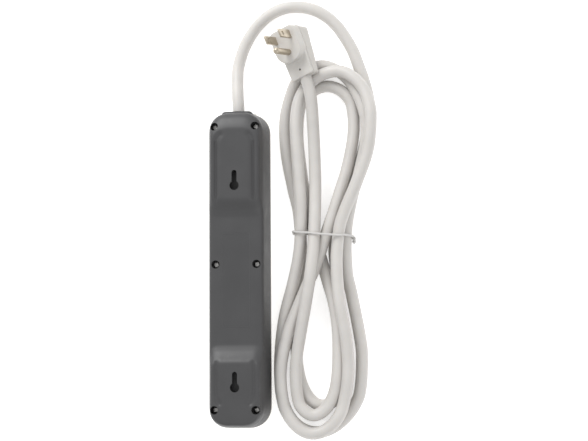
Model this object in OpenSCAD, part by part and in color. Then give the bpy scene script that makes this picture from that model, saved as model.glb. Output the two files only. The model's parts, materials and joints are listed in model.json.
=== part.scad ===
// Six-outlet surge protector strip with its mains lead tied in a hank and a
// right-angle plug. The strip rests on its outlet face, back cover up:
// X across the strip, Y along it towards the lead, Z up. Origin under its middle.

/* [Strip body] */
// Length of the strip
body_l = 238; // [236:1:242]
// Width at the joint between the two covers
body_w = 47; // [46.5:0.5:49]
// Height over the raised pads of the back cover
body_h = 36; // [35.5:0.5:37]
// Height of the sunk middle of the back cover
mid_h = 29.5; // [29:0.5:30]
// Height of the joint between the covers
joint_h = 10; // [9.5:0.5:10.5]
// Wall thickness of both covers
wall = 2.2; // [2:0.1:2.4]

/* [Outlets] */
// Number of outlets
outlet_count = 6; // [4:1:6]
// Distance from one outlet to the next
outlet_pitch = 31; // [28:0.5:31]
// Y of the outlet nearest the switch
outlet_y = 60; // [58:0.5:62]
// Distance between the two blade slots of an outlet
blade_gap = 12.7; // [12.7:0.1:12.8]
// Distance from the blade slots to the ground hole
ground_gap = 11.9; // [11.8:0.1:12]

/* [Screws and keyholes] */
// X of the cover screws on each side
screw_x = 15.5; // [15:0.5:15.5]
// Radius of the pockets over the cover screws
pocket_r = 3.1; // [3:0.1:3.2]
// Distance between the two hanging keyholes
keyhole_span = 150; // [148:1:151]
// Radius of the keyhole's round entry
keyhole_r = 3.5; // [3.4:0.1:3.6]
// Width of the keyhole's slot
keyhole_slot = 3.8; // [3.6:0.1:4]

/* [Switch] */
// Y of the rocker switch
switch_y = 88; // [88:0.5:88.5]
// Angle from off to on
rocker_swing = 16; // [14:1:16]

/* [Lead and plug] */
// Diameter of the lead
lead_d = 9.2; // [9:0.1:9.3]
// Length of the plug along the lead
plug_l = 39; // [38.5:0.5:40]
// Width of the plug's head
plug_w = 22; // [21.5:0.5:23]
// Length of the blades outside the plug
blade_l = 16; // [15.5:0.5:17]
// Length of the ground pin outside the plug
pin_l = 20.5; // [20:0.5:21]
// Radius of the ground pin
pin_r = 2.4; // [2.35:0.05:2.4]

/* [Hidden] */
$fn = 48;
grey = [0.36, 0.36, 0.37];
white = [0.9, 0.89, 0.86];
brass = [0.8, 0.66, 0.35];
e = 0.01;

half_l = body_l / 2;
screw_ys = [half_l - 12.5, 3, -half_l + 14];
keyhole_ys = [61.5, 61.5 - keyhole_span];
exit_z = 15.5;
boss_w = 25;
boss_top = 24.5;
boss_end = half_l + 0.5;
bushing_end = boss_end + 0.7;
end_pocket_floor = 26.5;
mid_pocket_floor = 23;
post_top = 19.5;
face_t = 2.4;
bus_z = 12;
bus_t = 0.8;
board_z = 17;
board_t = 1.6;
rib_top = bus_z + 1;
standoff_x = 9.9;
standoff_ys = [-4, 44];
standoff_r = 1.5;
rocker_z = 6;
housing_top = 14;
terminal_top = 20;
lead_r = lead_d / 2;

// Route of the lead from inside the strip to the hank, the loose arc behind the plug
arc_route = [[0, 102, 15.5], [0, 112, 15.5], [0, 123, 15.5], [-1, 134, 13.5],
             [-2, 145, 9], [-2, 156, 5.5], [1, 168, 4.6], [6, 179, 4.6],
             [13, 189, 4.6], [22, 197, 4.6], [33, 202, 4.6], [44, 203, 4.6],
             [55, 201, 4.6], [65, 196, 4.6], [74, 188, 4.6], [81, 178, 4.6],
             [87, 167, 4.6], [91, 156, 4.6], [95, 144, 4.6], [98, 132, 4.6]];

// Where the plug sits on the hank: the middle of the neck's end, and its turn
plug_at = [52.5, 144.6, 21];
plug_turn = [0, -22.5, 20.5];
blade_y = 32;
face_z = 12.2;
neck_z = 5.6;
back_z = -12.5;
pin_root_r = 2;

// Catmull-Rom point between p1 and p2
function spline(p0, p1, p2, p3, t) =
    0.5 * (2 * p1 + (p2 - p0) * t + (2 * p0 - 5 * p1 + 4 * p2 - p3) * t * t
           + (3 * p1 - p0 - 3 * p2 + p3) * t * t * t);
// The route's points with extra ones between them
function smooth_route(pts, steps) = let (n = len(pts)) concat(
    [for (i = [0 : n - 2], k = [0 : steps - 1])
        spline(pts[max(i - 1, 0)], pts[i], pts[i + 1], pts[min(i + 2, n - 1)], k / steps)],
    [pts[n - 1]]);
function unit(v) = v / norm(v);
function tangent(pts, i) = unit(pts[min(i + 1, len(pts) - 1)] - pts[max(i - 1, 0)]);
// A direction across the tube that keeps away from the tangent
function side_of(t, up) = unit(cross(t, up));
function ring(p, t, up, r, sides) = let (u = side_of(t, up), v = cross(u, t))
    [for (k = [0 : sides - 1]) p + r * (cos(360 * k / sides) * u + sin(360 * k / sides) * v)];

// A round tube swept along a route
module tube(pts, r, sides, up = [0, 0, 1]) {
    n = len(pts);
    rings = [for (i = [0 : n - 1]) each ring(pts[i], tangent(pts, i), up, r, sides)];
    walls = [for (i = [0 : n - 2], k = [0 : sides - 1]) let (m = (k + 1) % sides)
        [i * sides + k, i * sides + m, (i + 1) * sides + m, (i + 1) * sides + k]];
    polyhedron(rings, concat([[for (k = [sides - 1 : -1 : 0]) k]], walls,
        [[for (k = [0 : sides - 1]) (n - 1) * sides + k]]), convexity = 10);
}

// A thin round-cornered slab: width w, from y0 to y1, corner radii at each end
module slab(w, y0, y1, r0, r1, z, t = e) {
    for (s = [-1, 1]) {
        translate([s * (w / 2 - r0), y0 + r0, z]) cylinder(h = t, r = r0);
        translate([s * (w / 2 - r1), y1 - r1, z]) cylinder(h = t, r = r1);
    }
}

// The back cover's main body, inset by i
module back_main(i) {
    top = mid_h - i;
    hull() {
        slab(body_w - 2 * i, -half_l + i, half_l - i, 16.5 - i, 15.5 - i, joint_h - (i > 0 ? e : 0));
        slab(body_w - 5.6 - 2 * i, -half_l + 1 + i, half_l - 2 - i, 15 - i, 14 - i, top - 2.5);
        slab(body_w - 8.2 - 2 * i, -half_l + 2 + i, half_l - 3.5 - i, 13.5 - i, 12.5 - i, top - e);
    }
}

// One raised pad, inset by i: y0 is its sloped inner edge at the middle's height
module back_pad(y0, y1, in_top, out_top, r_out, i) {
    lo = mid_h - 2.5 - i;
    s = sign(y1 - y0);
    hull() {
        pad_slab(body_w - 6 - 2 * i, y0 + s * i - s * 2.5, y1 - s * i, 3, 14 - i, lo);
        pad_slab(body_w - 8.6 - 2 * i, y0 + s * i + s * 4, y1 - s * (i + 2), 4, 12 - i, mid_h + 3 - i);
        pad_slab(body_w - 11 - 2 * i, in_top + s * i - s * 2, out_top + s * (r_out / 3 - i), 4,
                 r_out + 2 - i, body_h - 1.2 - i);
        pad_slab(body_w - 15 - 2 * i, in_top + s * i, out_top - s * i, 3, r_out - i, body_h - i - e);
    }
}
module pad_slab(w, ya, yb, ra, rb, z) {
    if (ya < yb) slab(w, ya, yb, ra, rb, z);
    else slab(w, yb, ya, rb, ra, z);
}
module upper_pad(i) back_pad(39.5, half_l - 1.5, 51.5, half_l - 14, 9, i);
module lower_pad(i) back_pad(-58, -half_l + 0.8, -70, -half_l + 4, 9, i);

// Round-topped boss that the lead leaves through
module boss() {
    y0 = half_l - 9;
    l = boss_end - y0;
    translate([-boss_w / 2, y0, joint_h]) cube([boss_w, l, boss_top - 4 - joint_h]);
    translate([-boss_w / 2 + 4, y0, joint_h]) cube([boss_w - 8, l, boss_top - joint_h]);
    for (s = [-1, 1]) translate([s * (boss_w / 2 - 4), y0, boss_top - 4])
        rotate([-90, 0, 0]) cylinder(h = l, r = 4);
}
module lead_hole(r, y0, y1) translate([0, y0, exit_z]) rotate([-90, 0, 0]) cylinder(h = y1 - y0, r = r);

module keyhole() {
    cylinder(h = 20, r = keyhole_r);
    translate([-keyhole_slot / 2, 0, 0]) cube([keyhole_slot, 9.7, 20]);
    translate([0, 9.7, 0]) cylinder(h = 20, r = keyhole_slot / 2);
}
// Places of the cover screws; the pockets of the end screws are in the raised pads
module at_screws() for (s = [-1, 1], y = screw_ys) translate([s * screw_x, y, 0])
    let ($floor = abs(y) > 50 ? end_pocket_floor : mid_pocket_floor) children();

// Thin raised frame of the blank rating label
module label_frame() {
    translate([0, -8.7, mid_h]) difference() {
        translate([-10.8, -35.2, -0.3]) cube([21.6, 70.4, 0.55]);
        translate([-10, -34.4, -1]) cube([20, 68.8, 3]);
    }
}

module back_cover() color(grey) difference() {
    union() {
        back_main(0);
        upper_pad(0);
        lower_pad(0);
        boss();
        label_frame();
    }
    difference() {
        union() {
            back_main(wall);
            upper_pad(wall);
            lower_pad(wall);
        }
        // pocket tubes and keyhole cups stay solid inside
        at_screws() translate([0, 0, post_top]) cylinder(h = 20, r = pocket_r + 0.9);
        for (y = keyhole_ys) translate([-7, y - 6.5, 26]) cube([14, 22, 12]);
    }
    at_screws() translate([0, 0, $floor]) cylinder(h = 20, r = pocket_r);
    at_screws() translate([0, 0, post_top - 1]) cylinder(h = 9, r = 1.7);
    for (y = keyhole_ys) translate([0, y, body_h - wall - 1]) keyhole();
    for (y = keyhole_ys) translate([-6, y - 5.5, 27]) cube([12, 20, body_h - wall - 27]);
    // groove along the rim of each pad
    for (s = [-1, 1]) {
        translate([s * 14.8 - 0.7, 50, body_h - 0.7]) cube([1.4, half_l - 14 - 58, 2]);
        translate([s * 14.8 - 0.7, -half_l + 12, body_h - 0.5]) cube([1.4, half_l - 82, 2]);
    }
    lead_hole(6.45, half_l - 5, boss_end + 1);
}

// Blade slot pair and ground hole of one outlet
module outlet_holes() {
    for (s = [-1, 1]) translate([s * blade_gap / 2 - 1.1, 0, -1]) cube([2.2, s < 0 ? 9 : 7.5, 4]);
    translate([0, 4 - ground_gap, -1]) cylinder(h = 4, r = 2.7);
}
module at_outlets() for (k = [0 : outlet_count - 1])
    translate([0, outlet_y - k * outlet_pitch, 0]) children();

module front_cover() color(white) difference() {
    union() {
        difference() {
            hull() {
                slab(body_w - 5, -half_l + 3, half_l - 3, 14, 13, 0);
                slab(body_w - 1.6, -half_l + 0.8, half_l - 0.8, 16, 15, 2.6);
                slab(body_w, -half_l, half_l, 16.5, 15.5, joint_h - e);
            }
            hull() {
                slab(body_w - 5.6, -half_l + 3, half_l - 3, 14, 13, face_t);
                slab(body_w - 2 * wall, -half_l + wall, half_l - wall, 14.3, 13.3, joint_h);
            }
        }
        // lower half of the boss
        translate([-boss_w / 2, half_l - 2, 6]) cube([boss_w, boss_end - half_l + 2, joint_h - 6]);
        // screw posts
        at_screws() translate([0, 0, face_t - 0.5]) cylinder(h = post_top - face_t + 0.5, r = 3.5);
        // ribs that hold the bus bars
        for (x = [-9.9, -3.9, 3.9, 9.9]) translate([x - 0.35, -105, face_t - 0.5])
            cube([0.7, 176, rib_top - face_t + 0.5]);
        // stand-offs of the surge board
        for (s = [-1, 1], y = standoff_ys) translate([s * standoff_x, y, face_t - 0.5])
            cylinder(h = board_z - face_t + 0.5, r = standoff_r);
        // posts of the lead clamp
        for (s = [-1, 1]) translate([s * 8, 108, face_t - 0.5]) cylinder(h = 8.3, r = 2.3);
    }
    at_outlets() outlet_holes();
    at_screws() translate([0, 0, 6]) cylinder(h = 20, r = 1.3);
    for (s = [-1, 1]) translate([s * 8, 108, 5]) cylinder(h = 8, r = 1);
    translate([-7.2, switch_y - 10.3, -1]) cube([14.4, 20.6, 6]);
    translate([13.5, switch_y, -1]) cylinder(h = 5, r = 1.6);
    lead_hole(6.45, half_l - 5, boss_end + 1);
}

// Pan-head screw pointing down, head's underside at the origin
module pan_screw(head_r, head_h, shaft_r, l) {
    difference() {
        union() {
            cylinder(h = head_h * 0.55, r = head_r);
            translate([0, 0, head_h * 0.55]) cylinder(h = head_h * 0.45, r1 = head_r, r2 = head_r * 0.6);
        }
        for (a = [0, 90]) rotate(a) translate([-head_r * 0.6, -0.35, head_h * 0.4])
            cube([head_r * 1.2, 0.7, head_h]);
    }
    translate([0, 0, -l]) cylinder(h = l + e, r = shaft_r);
}
module cover_screws() color("silver") at_screws()
    translate([0, 0, $floor]) pan_screw(2.8, 2.2, 1.3, $floor - 8.5);
module clamp_screws() color("silver") for (s = [-1, 1])
    translate([s * 8, 108, 22]) pan_screw(2, 1.5, 1, 16);

module cord_bushing() color(grey) difference() {
    union() {
        lead_hole(6.4, half_l - 5.2, bushing_end);
        lead_hole(7.6, half_l - 7, half_l - 5.1);
    }
    lead_hole(lead_r + 0.03, half_l - 8, bushing_end + 1);
}
module cord_clamp() color(white) difference() {
    translate([-10.8, 105.5, 10.2]) cube([21.6, 5, 11.8]);
    lead_hole(lead_r, 100, 115);
    for (s = [-1, 1]) translate([s * 8, 108, 8]) cylinder(h = 20, r = 1.05);
}

// Bus bar with one spring contact under each outlet
module bus_strip(x) translate([x - 2, -103, bus_z]) cube([4, 180, bus_t]);
module blade_contact() for (s = [-1, 1])
    translate([s * 1.3 - 0.25, -0.2, 3.4]) cube([0.5, 8, bus_z - 3.4 + e]);
module blade_bus(s) color(brass) {
    bus_strip(s * blade_gap / 2);
    at_outlets() translate([s * blade_gap / 2, 0, 0]) blade_contact();
}
module line_bus_bar() blade_bus(1);
module neutral_bus_bar() blade_bus(-1);
module ground_bus_bar() color(brass) {
    bus_strip(0);
    at_outlets() translate([0, 4 - ground_gap, 3.4]) difference() {
        cylinder(h = bus_z - 3.4 + e, r = 3.2);
        translate([0, 0, -1]) cylinder(h = bus_z - 3.4, r = 2.6);
    }
}
module insulating_sheet() color("tan") translate([0, 0, rib_top]) difference() {
    translate([-10.2, -104, 0]) cube([20.4, 144, 0.4]);
    for (s = [-1, 1]) translate([s * standoff_x, standoff_ys[0], -1]) cylinder(h = 3, r = standoff_r + 0.3);
}

module surge_board() color("darkgreen") translate([-11, -8, board_z]) cube([22, 56, board_t]);
module varistors() color("royalblue") for (k = [0 : 2])
    translate([-1.6, 30 - 15.5 * k, board_z + board_t]) cylinder(h = 4.5, r = 7);
module thermal_fuse() color("silver") translate([8.6, 20, board_z + board_t + 1.6])
    rotate([-90, 0, 0]) cylinder(h = 12, r = 1.6);
module filter_capacitor() color("goldenrod") translate([-9, 39.5, board_z + board_t]) cube([18, 6, 7.5]);

module light_pipe() color("lightgreen") translate([13.5, switch_y, 0.4]) {
    cylinder(h = 7, r = 1.55);
    translate([0, 0, face_t - 0.4]) cylinder(h = 1, r = 2.6);
}
module indicator_led() color("green") translate([13.5, switch_y, 7.6]) {
    cylinder(h = 4, r = 1.5);
    translate([0, 0, 4]) cylinder(h = 1, r = 1.8);
}

module switch_housing() color([0.12, 0.12, 0.12]) difference() {
    translate([-7.1, switch_y - 10.1, 0.4]) cube([14.2, 20.2, housing_top - 0.4]);
    translate([-5.8, switch_y - 9.1, 0]) cube([11.6, 18.2, housing_top - 2]);
    translate([-6.8, switch_y, rocker_z]) rotate([0, 90, 0]) cylinder(h = 13.6, r = 1.25);
}
// Rocker in its off position: a V face that tips about the hinge
module switch_rocker() color([0.75, 0.1, 0.08])
    translate([0, switch_y, rocker_z]) rotate([-rocker_swing / 2, 0, 0]) {
    rotate([90, 0, 90]) translate([0, 0, -5.5]) linear_extrude(11)
        polygon([[-8.2, -4.2], [0, -3.2], [8.2, -4.2], [8, -0.6], [3, 1.8], [-3, 1.8], [-8, -0.6]]);
    translate([-6.7, 0, 0]) rotate([0, 90, 0]) cylinder(h = 13.4, r = 1.2);
}
module switch_terminals() color(brass) for (y = [-6, 0, 6])
    translate([-2.4, switch_y + y - 0.4, housing_top]) cube([4.8, 0.8, terminal_top - housing_top]);
module switch_lamp() color("orange")
    translate([-3, switch_y - 5, 10.2]) rotate([0, 90, 0]) cylinder(h = 6, r = 1.3);

// Insulated wires from the lead to the switch and the bus bars
wire_r = 1.4;
wire_end_y = 73;
wire_end_z = bus_z + bus_t + 0.2;
side_run = [[9.6, 96, 15.6], [9.6, 88, 15.6], [9, 80, 15.6]];
module wire(pts, colour) color(colour) tube(smooth_route(pts, 3), wire_r, 8, [1, 0, 0.01]);
module line_wire() wire([[0, 101.9, 17.5], [0, 99, 18.5], [0, 96.5, 20], [0, 94.3, 21.6]], [0.1, 0.1, 0.1]);
module switched_line_wire() wire([[0, 82, 21.6], [2, 78.5, 21], [5.2, 75, 19],
    [6.35, wire_end_y, 16], [6.35, wire_end_y, wire_end_z]], [0.1, 0.1, 0.1]);
module neutral_wire() wire(concat([[-2.6, 101.9, 14], [-6, 99.8, 14.8]],
    [for (p = side_run) [-p[0], p[1], p[2]]],
    [[-7, 75.5, 15.6], [-6.35, wire_end_y, 14.8], [-6.35, wire_end_y - 0.2, wire_end_z]]), "whitesmoke");
module ground_wire() wire(concat([[2.6, 101.9, 14], [6, 99.8, 14.8]], side_run,
    [[4, 76, 15.6], [0.6, wire_end_y, 14.8], [0, wire_end_y - 0.2, wire_end_z]]), "green");

// The lead from inside the strip round its loose arc
module cord() color(white) tube(smooth_route(arc_route, 3), lead_r, 12, [0.01, 0, 1]);

// Outer shape of the tied hank: two long lobes that meet at the tie
module lobe(circles, h, z = 0) translate([0, 0, z]) linear_extrude(h)
    hull() for (c = circles) translate([c[0], c[1]]) circle(c[2], $fn = 32);
waist = [64, 28, 21.5];
module cord_hank() color(white) difference() {
    union() {
        lobe([waist, [46, 88, 15], [60, 131, 29.5], [80, 119, 27.5], [89, 80, 12]], 19);
        lobe([waist, [39, -72, 15], [56, -98, 30], [66, -80, 30], [79, -20, 12]], 19);
        lobe([[50, 98, 12], [62, 66, 18], [88, 110, 18], [88, 70, 10]], 8, 19);
        lobe([[55, 2, 10], [70, 0, 14], [50, -50, 12], [76, -45, 12]], 8, 19);
    }
    tie_ring(0);
}
// Band round the waist of the hank
module tie_ring(grow) translate([64, 29, 0]) rotate([90, 0, 0]) linear_extrude(2) difference() {
    translate([-22.5, 0]) square([45, 20]);
    translate([-21.5, 1]) square([43, 18]);
}
module cord_tie() color("white") {
    tie_ring(0);
    for (z = [11, 13.5]) translate([86.4, 28, z]) rotate([0, 75, 10]) cylinder(h = 6, r = 0.9);
}

module at_plug() translate(plug_at) rotate(plug_turn) children();
// The plug's base is a wedge, thin at the lead and deep at the head. The part with
// the pins stands on it, round towards the lead.
module plug_body() color(white) at_plug() difference() {
    union() {
        hull() for (s = [-1, 1]) {
            translate([s * 6.3, 0, -neck_z + 3]) rotate([-90, 0, 0]) cylinder(h = 2, r = 3, $fn = 24);
            translate([s * 6.3, 0, neck_z - 3]) rotate([-90, 0, 0]) cylinder(h = 2, r = 3, $fn = 24);
            for (z = [back_z + 3, neck_z - 3]) translate([s * (plug_w / 2 - 3), plug_l - 3, z])
                sphere(r = 3, $fn = 24);
            translate([s * (plug_w / 2 - 3), blade_y - 8, neck_z - 3]) sphere(r = 3, $fn = 24);
        }
        hull() {
            for (z = [0, face_z - 2]) translate([0, blade_y - ground_gap + 2, z]) cylinder(h = 2, r = 9);
            for (s = [-1, 1], z = [0, face_z - 2]) translate([s * (plug_w / 2 - 4), plug_l - 4, z])
                cylinder(h = 2, r = 4);
        }
    }
    blade(-1);
    blade(1);
    translate([0, blade_y - ground_gap, 4]) cylinder(h = 20, r = pin_root_r);
}
module blade(s) translate([s * blade_gap / 2 - 0.75, blade_y - 3.175, 4]) difference() {
    cube([1.5, 6.35, face_z + blade_l - 4]);
    translate([-1, 3.175, face_z + 11.7 - 4]) rotate([0, 90, 0]) cylinder(h = 4, r = 1.6);
}
module plug_line_blade() color(brass) at_plug() blade(-1);
module plug_neutral_blade() color(brass) at_plug() blade(1);
module plug_ground_pin() color(brass) at_plug() translate([0, blade_y - ground_gap, 4]) {
    cylinder(h = face_z - 4, r = pin_root_r);
    translate([0, 0, face_z - 4]) cylinder(h = pin_l - pin_r, r = pin_r);
    translate([0, 0, face_z + pin_l - pin_r - 4]) sphere(r = pin_r);
}

front_cover();
back_cover();
cover_screws();
cord_bushing();
cord_clamp();
clamp_screws();
line_bus_bar();
neutral_bus_bar();
ground_bus_bar();
insulating_sheet();
surge_board();
varistors();
thermal_fuse();
filter_capacitor();
indicator_led();
light_pipe();
switch_housing();
switch_rocker();
switch_terminals();
switch_lamp();
line_wire();
switched_line_wire();
neutral_wire();
ground_wire();
cord();
cord_hank();
cord_tie();
plug_body();
plug_line_blade();
plug_neutral_blade();
plug_ground_pin();
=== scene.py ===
"""Looks of a six-outlet surge protector strip: a grey back cover with two raised pads, a
white outlet cover under it, and its mains lead tied in a hank with a right-angle plug."""
import json
import math
import bpy
from mathutils import Euler, Matrix, Vector


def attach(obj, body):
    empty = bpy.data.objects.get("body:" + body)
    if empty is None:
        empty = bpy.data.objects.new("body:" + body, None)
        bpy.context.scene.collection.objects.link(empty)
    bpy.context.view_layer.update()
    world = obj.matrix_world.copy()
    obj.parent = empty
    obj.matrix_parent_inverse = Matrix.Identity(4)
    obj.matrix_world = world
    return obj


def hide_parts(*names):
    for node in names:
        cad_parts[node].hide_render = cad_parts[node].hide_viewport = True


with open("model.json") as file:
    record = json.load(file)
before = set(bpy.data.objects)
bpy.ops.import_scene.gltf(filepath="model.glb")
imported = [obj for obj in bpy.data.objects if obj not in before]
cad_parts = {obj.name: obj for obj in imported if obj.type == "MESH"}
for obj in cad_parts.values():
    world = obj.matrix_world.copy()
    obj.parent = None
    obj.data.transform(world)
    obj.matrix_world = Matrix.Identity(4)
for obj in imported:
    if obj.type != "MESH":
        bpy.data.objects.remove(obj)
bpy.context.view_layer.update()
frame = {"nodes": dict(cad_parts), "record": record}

MM = 0.001

# Strip, in millimetres
WIDTH = 47
HALF_L = 119
JOINT = 10
MIDDLE_TOP = 29.5
PAD_TOP = 36
WALL = 2.2
CREASE_X = 14.2
SCREW_X = 15.5
SCREW_YS = (106.5, 3, -105)
POCKET_R = 3.1
END_POCKET_FLOOR = 26.5
MID_POCKET_FLOOR = 23
BOSS_W = 25
BOSS_TOP = 24.5
BOSS_END = HALF_L + 0.5
KEYHOLE_YS = (61.5, -88.5)
KEYHOLE_R = 3.5
KEYHOLE_SLOT_R = 1.9
KEYHOLE_RUN = 9.7
LABEL_Y = -8.7
LABEL_HALF = (10.4, 34.8)
UPPER_CREASE = (50, 95)
LOWER_CREASE = (-94, -69)
OUTLET_YS = [60 - 31 * k for k in range(6)]
BLADE_GAP = 12.7
GROUND_GAP = 11.9
SWITCH_Y = 88
HINGE = (0, SWITCH_Y, 6)
ROCKER_REST = -8
LIGHT_PIPE_X = 13.5
BUSH_R = 6.4
SCREW_HEAD_R = 2.35
SCREW_HEAD_H = 2.2

# Lead and plug
LEAD_D = 9.2
EXIT = (0, 120.2, 15.5)
PLUG_AT = (52.5, 144.6, 21)
PLUG_TURN = (0, -22.5, 20.5)
PLUG_L = 39
PLUG_W = 22
FACE_Z = 12.2
NECK_Z = 5.6
BACK_Z = -12.5
BLADE_Y = 32
BLADE_L = 16
PIN_L = 20.5
PIN_R = 2.4
DIMPLE = (0.5, 5.8)
PARTING_Z = 2.2
RIM_W = 1.6
RIM_PROUD = 0.35
TIE_Y = 25.5
TIE_R = 0.85
TIE_SLANT = 0.09

# Route of the lead: out of the strip and round its loose arc
ARC_ROUTE = [(0, 102, 15.5), (0, 112, 15.5), (0, 123, 15.5), (-1, 134, 13.5),
             (-2, 145, 9), (-2, 156, 5.5), (1, 168, 4.6), (6, 179, 4.6),
             (13, 189, 4.6), (22, 197, 4.6), (33, 202, 4.6), (44, 203, 4.6),
             (55, 201, 4.6), (65, 196, 4.6), (74, 188, 4.6), (81, 178, 4.6),
             (87, 167, 4.6), (91, 156, 4.6), (95, 144, 4.6), (98, 132, 4.6)]
# Then the turns of the hank, each from the right side down, round the bottom fold and
# back up to the top fold, from the lowest turn to the one that ends in the plug
HANK_ROUTE = [
    (99.5, 120, 4.6), (98.5, 108, 4.6), (92, 81, 4.6), (87, 68, 4.6), (76, 42, 4.6),
    (71.5, 16, 4.6), (72, 4, 4.6), (74.5, -24, 4.6), (77, -37, 4.6), (80, -65, 4.6),
    (77, -87.5, 4.6), (72.5, -96.5, 4.6), (66, -101.5, 4.6), (58.5, -102, 4.6),
    (51.5, -97, 4.6), (46.5, -88.5, 4.6), (43.5, -78, 4.6), (42, -64, 4.6),
    (42, -46, 4.6), (43, -27, 4.6), (45, -8, 4.6), (46, 10, 4.6), (45.5, 28, 4.6),
    (44, 45, 4.6), (40.5, 60, 4.6), (35, 90, 4.6), (34.5, 116, 4.6), (40.5, 138.5, 4.6),
    (46, 147.5, 4.6), (54, 153.5, 4.6), (63.5, 156, 4.6), (73, 153, 5), (82, 146, 6.5),

    (89.5, 135, 9.5), (95, 122, 12.5), (97.5, 109, 13.5), (97, 95, 13.5), (91, 69, 13),
    (86.5, 56, 12), (81, 28, 10), (81, -3, 7.5), (84, -18, 6), (90, -51, 4.6),
    (91.5, -66, 4.6), (89.5, -93, 4.6), (84.5, -104, 4.6), (77, -113, 4.6),
    (67, -120, 4.6), (56, -122.5, 4.6), (46.5, -120, 4.6), (38.5, -113.5, 4.6),
    (33, -104, 4.6), (30, -92, 4.6), (29.5, -65, 4.6), (33.5, -36, 8), (41, -10, 12.5),
    (46, 14, 14), (47.5, 42, 16), (46, 73, 17), (44, 103, 16.5), (44.5, 118, 15.5),
    (47, 129.5, 14), (52, 138.5, 13), (59, 145, 12.5), (68, 149, 12.5), (77.5, 149.5, 14),

    (86.5, 145.5, 16), (94.5, 137, 17.5), (99.5, 126, 19.5), (101.5, 114, 21),
    (99, 88, 21.5), (90, 63, 21), (80, 40, 19.5), (76.5, 28, 18.5), (74.5, 4, 18.5),
    (76.5, -25, 20), (81, -52, 18.5), (82, -79, 15.5), (77.5, -103.5, 13.5),
    (73, -112.5, 13.5), (66.5, -119, 13.5), (59, -122.5, 13.5), (51.5, -122.5, 13.5),
    (44, -118.5, 13.5), (37.5, -111, 13.5), (33, -101, 13), (31, -76, 13),
    (36.5, -49, 13), (41.5, -36, 13.5), (52.5, -11, 14.5), (58, 1, 15.5), (67.5, 29, 14.5),
    (77.5, 60, 12), (82, 75, 10), (87, 103, 6.5), (86, 124, 5.5), (82, 132, 5.5),
    (75.5, 137.5, 5.5), (67, 140, 5), (58, 138, 4.6), (50.5, 132.5, 4.6),

    (46, 125, 5), (44, 103, 6), (47, 73, 7.5), (49.5, 58, 8.5), (56, 28, 6.5), (62, 6, 7),
    (66.5, -9, 11), (71, -24, 13), (73.5, -38, 13), (74.5, -51, 12.5), (74, -75, 12),
    (72, -90, 12.5), (67.5, -101, 13), (62, -107, 13), (55.5, -109.5, 13), (49, -106.5, 13),
    (44.5, -100, 12.5), (42.5, -84, 13), (43, -69, 14), (48, -42, 18), (51, -28, 20.5),
    (56, 0, 24), (58, 27, 20), (58.5, 59, 15), (58, 91, 15.5), (57, 121, 20),
    (55.5, 134, 21), (52.5, 144.6, 21)]


# ---------------------------------------------------------------- modelling helpers

def only(*pieces):
    """Select these pieces and nothing else; the first one is worked on."""
    bpy.ops.object.select_all(action="DESELECT")
    for piece in pieces:
        piece.select_set(True)
    bpy.context.view_layer.objects.active = pieces[0]


def fix_place(piece):
    only(piece)
    bpy.ops.object.transform_apply(location=True, rotation=True, scale=True)
    return piece


def block(lo, hi):
    """A box from corner lo to corner hi, in millimetres."""
    lo, hi = Vector(lo) * MM, Vector(hi) * MM
    bpy.ops.mesh.primitive_cube_add(size=1, location=(lo + hi) / 2)
    piece = bpy.context.object
    piece.scale = hi - lo
    return fix_place(piece)


def rod(start, end, radius, sides=48):
    """A round bar between two points, in millimetres."""
    start, end = Vector(start), Vector(end)
    run = end - start
    bpy.ops.mesh.primitive_cylinder_add(
        vertices=sides, radius=radius * MM, depth=run.length * MM,
        location=(start + end) / 2 * MM, rotation=run.to_track_quat("Z", "X").to_euler())
    return fix_place(bpy.context.object)


def work_on(piece, kind, test, *steps):
    """Select the faces, edges or corners that pass the test, then do the steps to them."""
    only(piece)
    mesh = piece.data
    bpy.ops.object.mode_set(mode="EDIT")
    bpy.ops.mesh.select_mode(type=kind)
    bpy.ops.mesh.select_all(action="DESELECT")
    bpy.ops.object.mode_set(mode="OBJECT")
    if kind == "FACE":
        for face in mesh.polygons:
            face.select = test(face.center / MM, face.normal)
    elif kind == "EDGE":
        for edge in mesh.edges:
            edge.select = test(*(mesh.vertices[i].co / MM for i in edge.vertices))
    else:
        for corner in mesh.vertices:
            corner.select = test(corner.co / MM)
    bpy.ops.object.mode_set(mode="EDIT")
    for step in steps:
        step()
    bpy.ops.object.mode_set(mode="OBJECT")
    return piece


def bevel(offset, segments):
    return lambda: bpy.ops.mesh.bevel(offset=offset * MM, segments=segments, affect="EDGES")


def resize(x, y, z, centre):
    centre = Vector(centre) * MM
    return lambda: bpy.ops.transform.resize(value=(x, y, z), center_override=centre)


def pull(x, y, z):
    push = {"value": Vector((x, y, z)) * MM}
    return lambda: bpy.ops.mesh.extrude_region_move(TRANSFORM_OT_translate=push)


def everything(*_):
    return True


def finish_with(piece, kind, **settings):
    """Add a modifier and apply it at once."""
    only(piece)
    modifier = piece.modifiers.new(kind.lower(), kind)
    for name, value in settings.items():
        setattr(modifier, name, value)
    bpy.ops.object.modifier_apply(modifier=modifier.name)
    return piece


def combine(piece, tools, how, folds=False):
    """Join the tools to the piece, or cut them out of it; folds allows for tight inner walls."""
    for tool in tools:
        finish_with(piece, "BOOLEAN", operation=how, solver="EXACT", object=tool, use_self=folds)
        bpy.data.objects.remove(tool)
    return piece


def as_one(pieces):
    only(*pieces)
    bpy.ops.object.join()
    return bpy.context.object


def twin(piece, matrix):
    """A copy of the piece with its own mesh, moved by the matrix."""
    copy = piece.copy()
    copy.data = piece.data.copy()
    bpy.context.collection.objects.link(copy)
    copy.matrix_world = matrix
    return fix_place(copy)


def soften(piece, voxel, passes):
    """Melt joined shapes into one skin with soft inner and outer corners."""
    finish_with(piece, "REMESH", mode="VOXEL", voxel_size=voxel * MM)
    return finish_with(piece, "SMOOTH", factor=0.5, iterations=passes)


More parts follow.
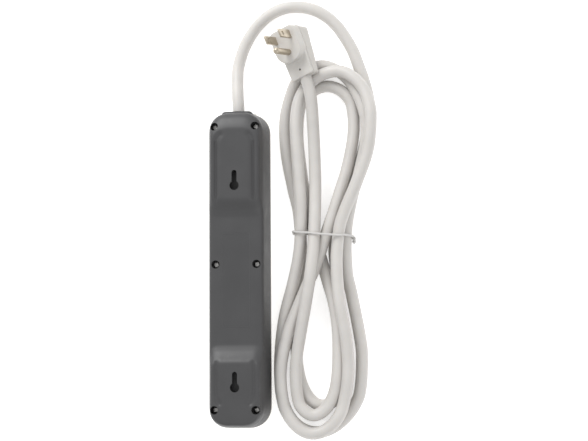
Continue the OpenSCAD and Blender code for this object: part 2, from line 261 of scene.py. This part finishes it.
def smooth_to(piece, angle):
    only(piece)
    bpy.ops.object.shade_smooth_by_angle(angle=math.radians(angle))
    return piece


def ready(piece, name, slot, body, *nodes):
    """Name a finished piece, give it its finish and let it stand for its CAD nodes."""
    piece.name = name
    piece.data.name = name
    piece.data.materials.clear()
    piece.data.materials.append(FINISHES[slot])
    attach(piece, body)
    if nodes:
        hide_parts(*nodes)
    return piece


# ---------------------------------------------------------------- finishes

class Wire:
    """A shader socket that can be used in sums."""

    def __init__(self, finish, socket):
        self.finish, self.socket = finish, socket

    def sum(self, operation, *values):
        return self.finish.add("Math", {"operation": operation}, *values)

    def __add__(self, other): return self.sum("ADD", self, other)
    def __radd__(self, other): return self.sum("ADD", other, self)
    def __sub__(self, other): return self.sum("SUBTRACT", self, other)
    def __rsub__(self, other): return self.sum("SUBTRACT", other, self)
    def __mul__(self, other): return self.sum("MULTIPLY", self, other)
    def __rmul__(self, other): return self.sum("MULTIPLY", other, self)
    def __truediv__(self, other): return self.sum("DIVIDE", self, other)
    def __rtruediv__(self, other): return self.sum("DIVIDE", other, self)
    def __lt__(self, other): return self.sum("LESS_THAN", self, other)
    def __gt__(self, other): return self.sum("GREATER_THAN", self, other)
    def __abs__(self): return self.sum("ABSOLUTE", self)


class Finish:
    """A material built up from nodes on the piece's own coordinates."""

    def __init__(self, name):
        self.material = bpy.data.materials.new(name)
        self.material.use_nodes = True
        self.tree = self.material.node_tree
        self.tree.nodes.clear()
        self.place = self.add("TexCoord", {}, output="Object")

    def add(self, kind, settings, *values, output=0, **named):
        """Add a node: its settings, then its sockets by order or by name."""
        node = self.tree.nodes.new("ShaderNode" + kind)
        for name, value in settings.items():
            setattr(node, name, value)
        sockets = [s for s in node.inputs if s.enabled]
        pairs = list(zip(sockets, values))
        pairs += [(next(s for s in sockets if s.name == n.replace("_", " ")), v) for n, v in named.items()]
        for socket, value in pairs:
            if isinstance(value, Wire):
                self.tree.links.new(value.socket, socket)
            elif socket.type == "RGBA" and len(value) == 3:
                socket.default_value = (*value, 1)
            else:
                socket.default_value = value
        outs = [s for s in node.outputs if s.enabled]
        if not outs:
            return node
        found = outs[output] if isinstance(output, int) else next(s for s in outs if s.name == output)
        return Wire(self, found)

    def noise(self, size, detail=2.0, stretch=None):
        """Cloudy pattern with lumps about this many millimetres across, from 0 to 1."""
        place = self.place
        if stretch:
            place = self.add("Mapping", {}, Vector=place, Scale=stretch)
        return self.add("TexNoise", {}, Vector=place, Scale=1 / (size * MM), Detail=detail)

    def spread(self, value, low, high, a=0.0, b=1.0):
        return self.add("MapRange", {}, value, low, high, a, b)

    def blend(self, mask, one, other):
        return self.add("Mix", {"data_type": "RGBA"}, mask, one, other)

    def bumps(self, height, depth, under=None):
        """Raised and sunk detail: height from 0 to 1, depth in millimetres."""
        extra = {"Normal": under} if under else {}
        return self.add("Bump", {}, Strength=1.0, Distance=depth * MM, Height=height, **extra)

    def close(self, **sockets):
        shader = self.add("BsdfPrincipled", {}, **sockets)
        self.add("OutputMaterial", {}, Surface=shader)
        return self.material


def tone(colour, factor):
    return tuple(min(1.0, c * factor) for c in colour)


def moulded(name, colour, rough, grain=0.5, depth=0.02, extra=None, **more):
    """Moulded plastic: a fine grained skin with faint flow clouds and handling marks."""
    f = Finish(name)
    clouds = f.noise(22, 3.0)
    skin = f.noise(grain, 2.0)
    marks = f.spread(f.noise(3.0, 4.0, (1, 0.25, 1)), 0.55, 0.75)
    shade = f.blend(f.spread(clouds, 0.3, 0.7), tone(colour, 0.94), tone(colour, 1.05))
    shade = f.blend(marks * 0.25, shade, tone(colour, 1.12))
    gloss = f.spread(clouds, 0.3, 0.7, rough * 0.9, rough * 1.1) + skin * 0.06 - marks * 0.05
    normal = f.bumps(skin, depth)
    if extra:
        shade, gloss, normal = extra(f, shade, gloss, normal)
    return f.close(Base_Color=shade, Roughness=gloss, Normal=normal, **more)


def metal(name, colour, rough, run=(1, 0.08, 1), tarnish=0.85):
    """Rolled or plated metal: fine lines along one way and a patchy bloom."""
    f = Finish(name)
    lines = f.noise(0.3, 2.0, run)
    bloom = f.spread(f.noise(4.0, 4.0), 0.45, 0.7)
    shade = f.blend(bloom, colour, tone(colour, tarnish))
    gloss = rough + lines * 0.12 + bloom * 0.1
    return f.close(Base_Color=shade, Metallic=1.0, Roughness=gloss, Normal=f.bumps(lines, 0.01))


def label_and_creases_with_painted_light(f, shade, gloss, normal):
    """The back cover's label frame and pad creases as bumps and its smoother label field, with a painted
    highlight on the frame line and painted shade in the creases.
    """
    x, y, z = (f.add("SeparateXYZ", {}, f.place, output=k) for k in "XYZ")
    across = abs(x) / (LABEL_HALF[0] * MM)
    along = abs(y - LABEL_Y * MM) / (LABEL_HALF[1] * MM)
    on_top = z > (MIDDLE_TOP - 1.5) * MM
    rim = frame_line(f, across, along)
    inside = (across < 0.97) * (along < 0.99) * on_top
    raised = f.bumps(rim * on_top, 0.35, normal)
    # Painted highlight: the label's raised frame line is drawn lighter than the grey, as if it catches the
    # light.
    shade = f.blend(rim * on_top * 0.35, shade, tone(COVER_GREY, 1.35))
    off_crease = abs(abs(x) - CREASE_X * MM) / (1.1 * MM)
    upper, lower = ((y > a * MM) * (y < b * MM) for a, b in (UPPER_CREASE, LOWER_CREASE))
    on_pad = (upper + lower * 0.4) * (z > (PAD_TOP - 2) * MM)
    crease = (1 - f.add("Math", {"operation": "MINIMUM"}, off_crease, 1.0)) * on_pad
    raised = f.bumps(1 - crease, 0.4, raised)
    # Painted shade: the pad creases are darkened towards a deeper grey, as shade in the groove.
    shade = f.blend(crease * 0.3, shade, tone(COVER_GREY, 0.7))
    return shade, gloss - inside * 0.06, raised


def frame_line(f, across, along):
    """1 on the thin line round the label's field, 0 elsewhere."""
    near_side = (abs(across - 1.0) < 0.035) * (along < 1.01)
    near_end = (abs(along - 1.0) < 0.0105) * (across < 1.035)
    return f.add("Math", {"operation": "MAXIMUM"}, near_side, near_end)


def lead_skin(name, colour):
    """Soft vinyl jacket: slightly waxy, with faint grime in its lay."""
    f = Finish(name)
    clouds = f.noise(16, 3.0)
    skin = f.noise(0.9, 2.0)
    specks = f.spread(f.noise(1.6, 1.0), 0.74, 0.8)
    shade = f.blend(f.spread(clouds, 0.3, 0.7), tone(colour, 0.95), tone(colour, 1.03))
    shade = f.blend(specks * 0.12, shade, tone(colour, 0.75))
    gloss = f.spread(clouds, 0.3, 0.7, 0.36, 0.46) + skin * 0.06
    return f.close(Base_Color=shade, Roughness=gloss, Normal=f.bumps(skin, 0.02),
                   Subsurface_Weight=0.08, Subsurface_Radius=(0.002, 0.0015, 0.001))


def plug_skin(name, colour):
    """The plug's vinyl, with the mould's parting ridge round its sides and painted shade along that ridge.
    """
    f = Finish(name)
    turn = Euler([math.radians(a) for a in PLUG_TURN]).to_matrix()
    up = turn @ Vector((0, 0, 1))
    middle = Vector(PLUG_AT) * MM + up * PARTING_Z * MM
    height = f.add("VectorMath", {"operation": "DOT_PRODUCT"}, f.place, up, output="Value")
    off_line = abs(height - up.dot(middle)) / (0.3 * MM)
    ridge = 1 - f.add("Math", {"operation": "MINIMUM"}, off_line, 1.0)
    skin = f.noise(0.7, 2.0)
    clouds = f.noise(9, 3.0)
    shade = f.blend(f.spread(clouds, 0.3, 0.7), tone(colour, 0.96), tone(colour, 1.03))
    # Painted shade: the vinyl is darkened along the parting ridge.
    shade = f.blend(ridge * 0.3, shade, tone(colour, 0.8))
    gloss = f.spread(clouds, 0.3, 0.7, 0.4, 0.5)
    normal = f.bumps(ridge, 0.18, f.bumps(skin, 0.02))
    return f.close(Base_Color=shade, Roughness=gloss, Normal=normal,
                   Subsurface_Weight=0.08, Subsurface_Radius=(0.002, 0.0015, 0.001))


def clear_glass(name, colour):
    f = Finish(name)
    swirl = f.noise(1.5, 2.0)
    shade = f.blend(swirl, colour, tone(colour, 0.85))
    return f.close(Base_Color=shade, Roughness=f.spread(swirl, 0.3, 0.7, 0.03, 0.1),
                   Normal=f.bumps(swirl, 0.01), Transmission_Weight=0.85, IOR=1.5)


def fibre(name, colour):
    """Pressed fibre sheet with short flecks."""
    f = Finish(name)
    flecks = f.spread(f.noise(0.5, 5.0, (1, 0.3, 1)), 0.45, 0.7)
    shade = f.blend(flecks, tone(colour, 0.85), tone(colour, 1.25))
    return f.close(Base_Color=shade, Roughness=0.8 - flecks * 0.1, Normal=f.bumps(flecks, 0.05))


def circuit_board(name, colour):
    """Coated laminate: copper tracks under the green, on a weave."""
    f = Finish(name)
    tracks = f.add("TexBrick", {"offset": 0.5}, Vector=f.place, Color1=(1, 1, 1), Color2=(1, 1, 1),
                   Mortar=(0, 0, 0), Scale=120.0, Mortar_Size=0.05, output="Fac")
    weave = f.noise(0.35, 2.0)
    shade = f.blend(tracks, colour, tone(colour, 1.8))
    return f.close(Base_Color=shade, Roughness=f.spread(weave, 0.3, 0.7, 0.25, 0.4),
                   Normal=f.bumps(tracks + weave * 0.2, 0.04))


COVER_GREY = (0.056, 0.056, 0.058)


def all_finishes():
    """One finish for each material slot of the record."""
    return {
        "cover_grey": moulded("cover_grey", COVER_GREY, 0.42, 0.45, 0.03, label_and_creases_with_painted_light),
        "cover_white": moulded("cover_white", (0.78, 0.76, 0.71), 0.33, 0.6, 0.015),
        "bushing_grey": moulded("bushing_grey", (0.06, 0.06, 0.062), 0.5, 0.6, 0.02),
        "screw_steel": metal("screw_steel", (0.46, 0.455, 0.445), 0.26, (1, 1, 0.1)),
        "lead_vinyl": lead_skin("lead_vinyl", (0.60, 0.58, 0.555)),
        "plug_vinyl": plug_skin("plug_vinyl", (0.59, 0.57, 0.54)),
        "plug_metal": metal("plug_metal", (0.52, 0.46, 0.37), 0.28, (1, 1, 0.06)),
        "tie_white": moulded("tie_white", (0.58, 0.57, 0.555), 0.4, 0.4, 0.02),
        "contact_brass": metal("contact_brass", (0.70, 0.55, 0.28), 0.3),
        "fibre_sheet": fibre("fibre_sheet", (0.42, 0.30, 0.18)),
        "board_green": circuit_board("board_green", (0.03, 0.16, 0.06)),
        "varistor_blue": moulded("varistor_blue", (0.03, 0.10, 0.42), 0.25, 1.2, 0.08),
        "fuse_metal": metal("fuse_metal", (0.60, 0.60, 0.58), 0.3, (1, 0.1, 1)),
        "capacitor_yellow": moulded("capacitor_yellow", (0.80, 0.55, 0.06), 0.3, 0.5, 0.02),
        "lens_green": moulded("lens_green", (0.15, 0.55, 0.22), 0.12, 1.0, 0.01, Transmission_Weight=0.6),
        "led_green": moulded("led_green", (0.10, 0.50, 0.15), 0.1, 1.0, 0.01, Transmission_Weight=0.6),
        "switch_black": moulded("switch_black", (0.02, 0.02, 0.02), 0.45, 0.5, 0.02),
        "rocker_red": moulded("rocker_red", (0.60, 0.03, 0.02), 0.15, 0.8, 0.01, Transmission_Weight=0.25),
        "lamp_glass": clear_glass("lamp_glass", (0.95, 0.45, 0.15)),
        "wire_black": moulded("wire_black", (0.02, 0.02, 0.02), 0.4, 0.6, 0.02),
        "wire_white": moulded("wire_white", (0.80, 0.80, 0.78), 0.4, 0.6, 0.02),
        "wire_green": moulded("wire_green", (0.03, 0.30, 0.08), 0.4, 0.6, 0.02),
    }


# ---------------------------------------------------------------- camera and lead

def set_camera():
    """The camera looks down on the strip from a little right of its middle."""
    stand = Vector((0.1909, -0.0706, 1.0844))
    aim = Vector((0.0400, 0.0378, 0))
    back = (stand - aim).normalized()
    right = Vector((0, 1, 0)).cross(back).normalized()
    up = back.cross(right)
    turn = Matrix((right, up, back)).transposed() @ Matrix.Rotation(math.radians(-0.38), 3, "Z")
    bpy.ops.object.camera_add(location=stand, rotation=turn.to_euler())
    camera = bpy.context.object
    camera.data.lens = 88.04
    camera.data.sensor_width = 36
    bpy.context.scene.camera = camera


def flowing_line(name, points, radius, closed=False):
    """A round line through the points; each handle follows its neighbours' direction."""
    data = bpy.data.curves.new(name, "CURVE")
    data.dimensions = "3D"
    data.bevel_depth = radius * MM
    data.bevel_resolution = 7
    data.resolution_u = 8
    data.use_fill_caps = True
    line = data.splines.new("BEZIER")
    line.bezier_points.add(len(points) - 1)
    line.use_cyclic_u = closed
    last = len(points) - 1
    for i, (knot, point) in enumerate(zip(line.bezier_points, points)):
        here = Vector(point)
        before = Vector(points[i - 1] if closed or i else point)
        after = Vector(points[(i + 1) % len(points)] if closed or i < last else point)
        way = (after - before).normalized()
        knot.handle_left_type = knot.handle_right_type = "FREE"
        knot.co = here * MM
        knot.handle_left = (here - way * (here - before).length / 3) * MM
        knot.handle_right = (here + way * (after - here).length / 3) * MM
    piece = bpy.data.objects.new(name, data)
    bpy.context.collection.objects.link(piece)
    return piece


def make_lead():
    lead = flowing_line("mains_lead", ARC_ROUTE + HANK_ROUTE, LEAD_D / 2)
    return ready(lead, "mains_lead", "lead_vinyl", "strip", "cord", "cord_hank")


# ---------------------------------------------------------------- strip

def tiered(corners, first, *tiers):
    """A slab with round corners that steps in from tier to tier.
    A tier is (width, y from, y to, z); corners are the radii at its two ends."""
    width, y0, y1, z0 = first
    z1 = tiers[0][3]
    slab = block((-width / 2, y0, z0), (width / 2, y1, z1))
    for end, radius in ((y0, corners[0]), (y1, corners[1])):
        work_on(slab, "EDGE", lambda a, b: abs(a.y - end) < 0.1 and abs(b.y - end) < 0.1
                and abs(a.z - b.z) > 1, bevel(radius, 12))
    last = first
    for k, tier in enumerate(tiers):
        steps = []
        if k:
            steps.append(pull(0, 0, tier[3] - last[3]))
        middle = (last[1] + last[2]) / 2
        shift = (tier[1] + tier[2]) / 2 - middle
        steps.append(resize(tier[0] / last[0], (tier[2] - tier[1]) / (last[2] - last[1]), 1,
                            (0, middle, 0)))
        steps.append(lambda move=shift: bpy.ops.transform.translate(value=(0, move * MM, 0)))
        top = last[3] if k else z1
        work_on(slab, "FACE", lambda c, n: n.z > 0.9 and abs(c.z - top) < 0.05, *steps)
        last = tier
    return slab


def screw_places():
    """X and Y of each cover screw, and the height of its pocket's floor."""
    return [(s * SCREW_X, y, END_POCKET_FLOOR if abs(y) > 50 else MID_POCKET_FLOOR)
            for s in (-1, 1) for y in SCREW_YS]


def make_back_cover():
    """Grey cover: a sunk middle between two raised pads, hollow, with pockets and keyholes."""
    under = JOINT - 8
    body = tiered((16.5, 15.5), (WIDTH, -HALF_L, HALF_L, under), (WIDTH, -HALF_L, HALF_L, JOINT),
                  (41.4, -118, 117, 27), (38.8, -117, 115.5, MIDDLE_TOP))
    upper = tiered((7, 14), (41, 36, 117.5, 24), (41, 36, 117.5, 28.4), (40, 39.5, 117, 29.8),
                   (39.2, 43.5, 115.8, 31.2), (38.2, 47, 113, 33.2), (36.6, 49.6, 108.5, 35),
                   (34, 51.5, 105, PAD_TOP))
    lower = tiered((14, 7), (41, -118.2, -54.5, 24), (41, -118.2, -54.5, 28.4), (40, -117.8, -58, 29.8),
                   (39.2, -117.4, -62, 31.2), (38.2, -117, -65.5, 33.2), (36.6, -116.4, -68.2, 35),
                   (34, -115, -70, PAD_TOP))
    boss = block((-BOSS_W / 2, 108, under), (BOSS_W / 2, BOSS_END, BOSS_TOP))
    work_on(boss, "EDGE", lambda a, b: min(a.y + a.z, b.y + b.z) > BOSS_END + 0.5
            and abs(a.x - b.x) < 1, bevel(3.5, 6))
    combine(body, [upper, lower], "UNION")
    combine(body, pad_grooves(), "DIFFERENCE")
    soften(body, 0.8, 9)
    combine(body, [boss], "UNION")
    soften(body, 0.8, 4)
    top_only = dict(plane_co=(0, 0, JOINT * MM), plane_no=(0, 0, 1), clear_inner=True)
    work_on(body, "FACE", everything, lambda: bpy.ops.mesh.bisect(**top_only))
    finish_with(body, "SOLIDIFY", thickness=WALL * MM, offset=-1)

    cups = [rod((x, y, 19.5), (x, y, 27), POCKET_R + 0.9) for x, y, floor in screw_places()]
    backs = [block((-7, y - 6.5, 26), (7, y + 15.5, PAD_TOP - WALL / 2)) for y in KEYHOLE_YS]
    combine(body, [as_one(cups + backs)], "UNION", folds=True)
    cuts = []
    for x, y, floor in screw_places():
        cuts.append(rod((x, y, floor), (x, y, 45), POCKET_R))
        cuts.append(rod((x, y, 18), (x, y, floor + 1), 1.7, 24))
    for y in KEYHOLE_YS:
        cuts.append(rod((0, y, 33), (0, y, 45), KEYHOLE_R))
        cuts.append(block((-KEYHOLE_SLOT_R, y, 32.5), (KEYHOLE_SLOT_R, y + KEYHOLE_RUN, 45)))
        cuts.append(rod((0, y + KEYHOLE_RUN, 33), (0, y + KEYHOLE_RUN, 45), KEYHOLE_SLOT_R, 32))
        cuts.append(block((-6, y - 5.5, 27), (6, y + 14.5, PAD_TOP - WALL)))
    cuts.append(rod((0, 112, EXIT[2]), (0, 126, EXIT[2]), BUSH_R + 0.05))
    combine(body, [as_one(cuts)], "DIFFERENCE", folds=True)
    return ready(smooth_to(body, 40), "back_cover_shell", "cover_grey", "strip", "back_cover")


def pad_grooves():
    """Thin sunk line along both sides of each pad, turning in round the end screws."""
    lines = []
    for s in (-1, 1):
        upper = [(CREASE_X, 50), (CREASE_X, 70), (CREASE_X, 90), (13, 97), (9.6, 101.5)]
        lower = [(CREASE_X, -68), (CREASE_X, -80), (CREASE_X, -92), (13, -98), (10.4, -101.5)]
        lines += [[(s * x, y, PAD_TOP + 0.3) for x, y in run] for run in (upper, lower)]
    tools = []
    for points in lines:
        tool = flowing_line("groove", points, 1.9)
        tool.data.bevel_resolution = 3
        only(tool)
        bpy.ops.object.convert(target="MESH")
        tools.append(bpy.context.object)
    return tools


def make_front_cover():
    """White cover with a round-edged face, a sunk field round each outlet and its slots."""
    body = tiered((14.5, 13.5), (42, -116, 116, 0), (45.4, -118.2, 118.2, 2.6),
                  (WIDTH, -HALF_L, HALF_L, JOINT), (WIDTH, -HALF_L, HALF_L, JOINT + 3))
    finish_with(body, "BEVEL", width=0.8 * MM, segments=3, limit_method="ANGLE",
                angle_limit=math.radians(25))
    half = dict(plane_co=(0, 0, JOINT * MM), plane_no=(0, 0, 1), clear_outer=True)
    work_on(body, "FACE", everything, lambda: bpy.ops.mesh.bisect(**half))
    finish_with(body, "SOLIDIFY", thickness=WALL * MM, offset=-1)
    lip = block((-BOSS_W / 2, HALF_L - 2, 6), (BOSS_W / 2, BOSS_END, JOINT))
    combine(body, [lip], "UNION")
    cuts = []
    for y in OUTLET_YS:
        field = block((-14, y - 13, -1), (14, y + 13.5, 0.5))
        work_on(field, "EDGE", lambda a, b: abs(a.z - b.z) > 1, bevel(5, 6))
        cuts.append(field)
        cuts.append(block((-BLADE_GAP / 2 - 1.1, y, -1), (-BLADE_GAP / 2 + 1.1, y + 9, 4)))
        cuts.append(block((BLADE_GAP / 2 - 1.1, y, -1), (BLADE_GAP / 2 + 1.1, y + 7.5, 4)))
        cuts.append(rod((0, y + 4 - GROUND_GAP, -1), (0, y + 4 - GROUND_GAP, 4), 2.7))
    cuts.append(block((-7.2, SWITCH_Y - 10.3, -1), (7.2, SWITCH_Y + 10.3, 5)))
    cuts.append(rod((LIGHT_PIPE_X, SWITCH_Y, -1), (LIGHT_PIPE_X, SWITCH_Y, 5), 1.6, 32))
    cuts.append(rod((0, 112, EXIT[2]), (0, 126, EXIT[2]), BUSH_R + 0.05))
    combine(body, cuts, "DIFFERENCE")
    posts = [rod((s * SCREW_X, y, 1.5), (s * SCREW_X, y, 19.4), 3.5, 32)
             for s in (-1, 1) for y in SCREW_YS]
    combine(body, posts, "UNION")
    return ready(smooth_to(body, 35), "front_cover_shell", "cover_white", "strip", "front_cover")


def make_screws():
    """Pan-head screws with a cross recess, each turned its own way."""
    head = rod((0, 0, 0), (0, 0, SCREW_HEAD_H), SCREW_HEAD_R, 40)
    work_on(head, "EDGE", lambda a, b: a.z > 2 and b.z > 2, bevel(1.1, 5))
    cross = [block((-1.7, -0.5, 0.6), (1.7, 0.5, 3)), block((-0.5, -1.7, 0.6), (0.5, 1.7, 3))]
    combine(head, cross, "DIFFERENCE")
    combine(head, [rod((0, 0, -14), (0, 0, 0.5), 1.3, 24)], "UNION")
    smooth_to(head, 35)
    turns = (20, 65, 40, 8, 52, 75)
    screws = [twin(head, Matrix.Translation(Vector(place) * MM)
                   @ Matrix.Rotation(math.radians(a), 4, "Z"))
              for place, a in zip(screw_places(), turns)]
    bpy.data.objects.remove(head)
    return ready(as_one(screws), "cover_screw_set", "screw_steel", "strip", "cover_screws")


def make_bushing():
    """Short grey bush round the lead where it leaves the strip."""
    y0, y1 = HALF_L - 5.2, EXIT[1]
    bush = rod((0, y0, EXIT[2]), (0, y1, EXIT[2]), BUSH_R, 64)
    work_on(bush, "EDGE", lambda a, b: a.y > y1 - 0.1 and b.y > y1 - 0.1, bevel(1.0, 5))
    combine(bush, [rod((0, y0 - 1.8, EXIT[2]), (0, y0 + 0.1, EXIT[2]), 7.6, 64)], "UNION")
    combine(bush, [rod((0, y0 - 3, EXIT[2]), (0, y1 + 1, EXIT[2]), LEAD_D / 2 + 0.03, 48)], "DIFFERENCE")
    return ready(smooth_to(bush, 35), "lead_bushing", "bushing_grey", "strip", "cord_bushing")


def make_rocker():
    """Rocker: a shallow V face with soft edges, on two hinge stubs."""
    paddle = block((-5.5, -8.2, -4.2), (5.5, 8.2, 1.8))
    only(paddle)
    work_on(paddle, "FACE", everything, lambda: bpy.ops.mesh.subdivide(number_cuts=3))
    work_on(paddle, "VERT", lambda p: p.z < -4 and abs(p.y) < 0.1,
            lambda: bpy.ops.transform.translate(value=(0, 0, 1.0 * MM)))
    work_on(paddle, "VERT", lambda p: p.z < -4 and abs(abs(p.y) - 4.1) < 0.1,
            lambda: bpy.ops.transform.translate(value=(0, 0, 0.5 * MM)))
    work_on(paddle, "VERT", lambda p: p.z > 1.7 and abs(p.y) > 8,
            lambda: bpy.ops.transform.translate(value=(0, 0, -2.4 * MM)))
    finish_with(paddle, "BEVEL", width=0.5 * MM, segments=3, limit_method="ANGLE",
                angle_limit=math.radians(50))
    combine(paddle, [rod((-6.7, 0, 0), (6.7, 0, 0), 1.2, 32)], "UNION")
    paddle.matrix_world = (Matrix.Translation(Vector(HINGE) * MM)
                           @ Matrix.Rotation(math.radians(ROCKER_REST), 4, "X"))
    fix_place(paddle)
    return ready(smooth_to(paddle, 40), "rocker_paddle", "rocker_red", "rocker", "switch_rocker")


# ---------------------------------------------------------------- plug and tie

def place_plug():
    return (Matrix.Translation(Vector(PLUG_AT) * MM)
            @ Euler([math.radians(a) for a in PLUG_TURN]).to_matrix().to_4x4())


def make_plug_body():
    """Right-angle plug: a wedge, thin at the lead and deep at the head, with the part that
    holds the pins standing on it, round towards the lead, and a proud parting rim."""
    half = PLUG_W / 2
    body = block((-half, 0, BACK_Z), (half, PLUG_L, NECK_Z))
    work_on(body, "FACE", lambda c, n: n.y < -0.9,
            resize(0.85, 1, 2 * NECK_Z / (NECK_Z - BACK_Z), (0, 0, NECK_Z)))
    work_on(body, "EDGE", lambda a, b: min(a.y, b.y) > PLUG_L - 1 and abs(a.z - b.z) > 5, bevel(3.5, 5))
    head = block((-half, 12.5, 0), (half, PLUG_L, FACE_Z))
    work_on(head, "EDGE", lambda a, b: max(a.y, b.y) < 13 and abs(a.z - b.z) > 5, bevel(9.5, 10))
    work_on(head, "EDGE", lambda a, b: min(a.y, b.y) > PLUG_L - 1 and abs(a.z - b.z) > 5, bevel(3.5, 5))
    combine(body, [head], "UNION")
    soften(body, 0.5, 10)
    rim = twin(body, Matrix.Identity(4))
    finish_with(rim, "DISPLACE", strength=RIM_PROUD * MM, mid_level=0.0)
    for side, height in ((1, PARTING_Z), (-1, PARTING_Z - RIM_W)):
        work_on(rim, "FACE", everything, lambda: bpy.ops.mesh.bisect(
            plane_co=(0, 0, height * MM), plane_no=(0, 0, side), clear_outer=True, use_fill=True))
    combine(body, [rim], "UNION")
    dimple = rod((DIMPLE[0], DIMPLE[1], 2.4), (DIMPLE[0], DIMPLE[1], 8), 0.85, 24)
    slots = [block((x - 0.75, BLADE_Y - 3.175, 4), (x + 0.75, BLADE_Y + 3.175, FACE_Z + 3))
             for x in (-BLADE_GAP / 2, BLADE_GAP / 2)]
    hole = rod((0, BLADE_Y - GROUND_GAP, 4), (0, BLADE_Y - GROUND_GAP, FACE_Z + 3), 2.02, 32)
    combine(body, [dimple, hole] + slots, "DIFFERENCE")
    body.matrix_world = place_plug()
    fix_place(body)
    return ready(smooth_to(body, 40), "plug_shell", "plug_vinyl", "strip", "plug_body")


def make_blade(name, node, side):
    x = side * BLADE_GAP / 2
    tip = FACE_Z + BLADE_L
    blade = block((x - 0.75, BLADE_Y - 3.175, 4), (x + 0.75, BLADE_Y + 3.175, tip))
    work_on(blade, "EDGE", lambda a, b: a.z > tip - 0.1 and b.z > tip - 0.1, bevel(0.5, 3))
    combine(blade, [rod((x - 3, BLADE_Y, FACE_Z + 11.7), (x + 3, BLADE_Y, FACE_Z + 11.7), 1.6, 32)],
            "DIFFERENCE")
    blade.matrix_world = place_plug()
    fix_place(blade)
    return ready(smooth_to(blade, 35), name, "plug_metal", "strip", node)


def make_ground_pin():
    y = BLADE_Y - GROUND_GAP
    tip = FACE_Z + PIN_L
    pin = rod((0, y, FACE_Z), (0, y, tip), PIN_R, 40)
    work_on(pin, "EDGE", lambda a, b: a.z > tip - 0.1 and b.z > tip - 0.1, bevel(2.2, 8))
    combine(pin, [rod((0, y, 4), (0, y, FACE_Z + 0.5), 2.0, 32)], "UNION")
    pin.matrix_world = place_plug()
    fix_place(pin)
    return ready(smooth_to(pin, 35), "plug_pin", "plug_metal", "strip", "plug_ground_pin")


def lead_crossings(y):
    """Where the lead passes through the plane at y: its x and z there."""
    route = ARC_ROUTE[14:] + HANK_ROUTE
    found = []
    for a, b in zip(route, route[1:]):
        if (a[1] - y) * (b[1] - y) <= 0 and a[1] != b[1]:
            t = (y - a[1]) / (b[1] - a[1])
            found.append((a[0] + t * (b[0] - a[0]), a[2] + t * (b[2] - a[2])))
    return found


def make_tie():
    """Coated wire drawn round the waist of the hank, its ends twisted down at the right."""
    reach = LEAD_D / 2 + TIE_R
    held = lead_crossings(TIE_Y)
    middle = sum(x for x, z in held) / len(held)
    loop = []
    steps = 40
    for k in range(steps):
        a = 2 * math.pi * k / steps
        ux, uz = math.cos(a), math.sin(a)
        x, z = max(held, key=lambda p: p[0] * ux + p[1] * uz)
        x, z = x + reach * ux, max(z + reach * uz, TIE_R)
        point = (x, TIE_Y - TIE_SLANT * (x - middle) + 0.5 * math.sin(3 * a), z)
        if not loop or math.dist(loop[-1], point) > 1.2:
            loop.append(point)
    ring = flowing_line("tie_ring", loop, TIE_R, closed=True)
    knot = max(loop)
    ends = []
    for phase in (0, math.pi):
        twist = [(knot[0] + 0.4 + 0.8 * math.sin(1.3 * k + phase), knot[1] - 0.9 * k,
                  knot[2] + 0.8 * math.cos(1.3 * k + phase) - 0.25 * k) for k in range(6)]
        ends.append(flowing_line("tie_end", twist, TIE_R * 0.85))
    for part in [ring] + ends:
        only(part)
        bpy.ops.object.convert(target="MESH")
    return ready(smooth_to(as_one([ring] + ends), 60), "hank_tie", "tie_white", "strip", "cord_tie")


# ---------------------------------------------------------------- floor and light

def make_floor():
    bpy.ops.mesh.primitive_plane_add(size=6, location=(0, 0, -0.3 * MM))
    floor = bpy.context.object
    floor.name = "floor"
    f = Finish("pale_floor")
    clouds = f.noise(60, 3.0)
    shade = f.blend(clouds, (0.93, 0.93, 0.93), (0.95, 0.95, 0.95))
    floor.data.materials.append(f.close(Base_Color=shade, Roughness=0.7, Emission_Color=(1, 1, 1, 1),
                                        Emission_Strength=0.45))


def soft_light(name, place, aim, size, power):
    bpy.ops.object.light_add(type="AREA", location=place)
    light = bpy.context.object
    light.name = name
    light.data.shape = "DISK"
    light.data.size = size
    light.data.energy = power
    light.rotation_euler = (Vector(place) - Vector(aim)).to_track_quat("Z", "Y").to_euler()


def set_light():
    world = bpy.data.worlds.new("studio")
    bpy.context.scene.world = world
    world.use_nodes = True
    world.node_tree.nodes["Background"].inputs["Color"].default_value = (1, 1, 1, 1)
    world.node_tree.nodes["Background"].inputs["Strength"].default_value = 0.8
    soft_light("key", (-0.7, 1.5, 1.1), (0.03, 0.03, 0), 1.0, 22)
    soft_light("fill", (0.9, -0.9, 1.4), (0.03, 0.03, 0), 1.4, 4)
    bpy.context.scene.view_settings.view_transform = "Standard"


# ---------------------------------------------------------------- making

FINISHES = all_finishes()
set_camera()
lead = make_lead()

SLOTS = {part["node"]: part["material_slot"] for part in frame["record"]["subparts"]}
for node, solid in frame["nodes"].items():
    solid.data.materials.clear()
    solid.data.materials.append(FINISHES[SLOTS[node]])

make_back_cover()
make_front_cover()
make_screws()
bushing = make_bushing()
make_rocker()
on_lead = [bushing, make_plug_body(), make_blade("plug_blade_line", "plug_line_blade", -1),
           make_blade("plug_blade_neutral", "plug_neutral_blade", 1), make_ground_pin(), make_tie()]
make_floor()
set_light()
